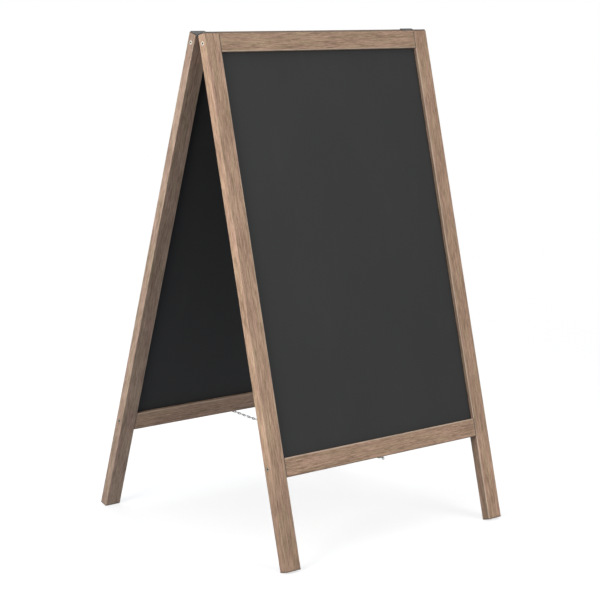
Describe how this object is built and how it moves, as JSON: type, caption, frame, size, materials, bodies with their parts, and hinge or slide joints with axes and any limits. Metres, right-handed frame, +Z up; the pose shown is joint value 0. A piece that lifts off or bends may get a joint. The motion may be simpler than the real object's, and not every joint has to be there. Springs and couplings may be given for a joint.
{
  "type": "sandwich board",
  "caption": "Folding A-frame pavement chalkboard: two wooden frames with black panels, hinged along the top and held open near the feet by a chain.",
  "frame": {"origin": "on the ground below the middle of the hinge line, board open", "axes": "+Z up, +X along the hinge line, -Y towards the front leaf's face"},
  "size_m": [0.7, 0.6832, 1.1648],
  "materials": {
    "frame_wood": "greyish brown hardwood with fine straight grain, thin matt oil",
    "chalkboard": "hardboard with matt black chalk lacquer on both faces",
    "frame_screw_steel": "bright zinc-plated steel",
    "hinge_steel": "dark grey coated steel, satin",
    "chain_steel": "nickel-plated steel"
  },
  "bodies": {
    "front_leaf": {"front_left_stile": "frame_wood", "front_right_stile": "frame_wood", "front_top_rail": "frame_wood", "front_bottom_rail": "frame_wood", "front_chalkboard": "chalkboard", "front_left_top_screw": "frame_screw_steel", "front_left_bottom_screw": "frame_screw_steel", "front_right_top_screw": "frame_screw_steel", "front_right_bottom_screw": "frame_screw_steel", "front_left_hinge_plate": "hinge_steel", "front_right_hinge_plate": "hinge_steel", "left_hinge_pin": "hinge_steel", "right_hinge_pin": "hinge_steel", "front_left_hinge_outer_screw": "hinge_steel", "front_left_hinge_inner_screw": "hinge_steel", "front_right_hinge_outer_screw": "hinge_steel", "front_right_hinge_inner_screw": "hinge_steel", "front_screw_eye": "chain_steel"},
    "back_leaf": {"back_left_stile": "frame_wood", "back_right_stile": "frame_wood", "back_top_rail": "frame_wood", "back_bottom_rail": "frame_wood", "back_chalkboard": "chalkboard", "back_left_top_screw": "frame_screw_steel", "back_left_bottom_screw": "frame_screw_steel", "back_right_top_screw": "frame_screw_steel", "back_right_bottom_screw": "frame_screw_steel", "back_left_hinge_plate": "hinge_steel", "back_right_hinge_plate": "hinge_steel", "back_left_hinge_outer_screw": "hinge_steel", "back_left_hinge_inner_screw": "hinge_steel", "back_right_hinge_outer_screw": "hinge_steel", "back_right_hinge_inner_screw": "hinge_steel", "back_screw_eye": "chain_steel"},
    "front_chain": {"front_chain_half": "chain_steel"},
    "back_chain": {"back_chain_half": "chain_steel"}
  },
  "joints": [
    {"name": "fold", "type": "hinge", "parent": "front_leaf", "child": "back_leaf", "pos_m": [0, 0, 1.15667], "axis": [-1, 0, 0], "range_deg": [0, 30.6]},
    {"name": "front_chain_swing", "type": "hinge", "parent": "front_leaf", "child": "front_chain", "pos_m": [0, -0.27883, 0.19465], "axis": [-0.9986, 0, 0.0523], "range_deg": [0, 105.3]},
    {"name": "back_chain_swing", "type": "hinge", "parent": "back_leaf", "child": "back_chain", "pos_m": [0.015, 0.27883, 0.19465], "axis": [0.9986, 0, 0.0523], "range_deg": [0, 105.3]}
  ],
  "couplings": [
    {"joint": "front_chain_swing", "follows": "fold", "ratio": 3.44},
    {"joint": "back_chain_swing", "follows": "fold", "ratio": 3.44}
  ]
}
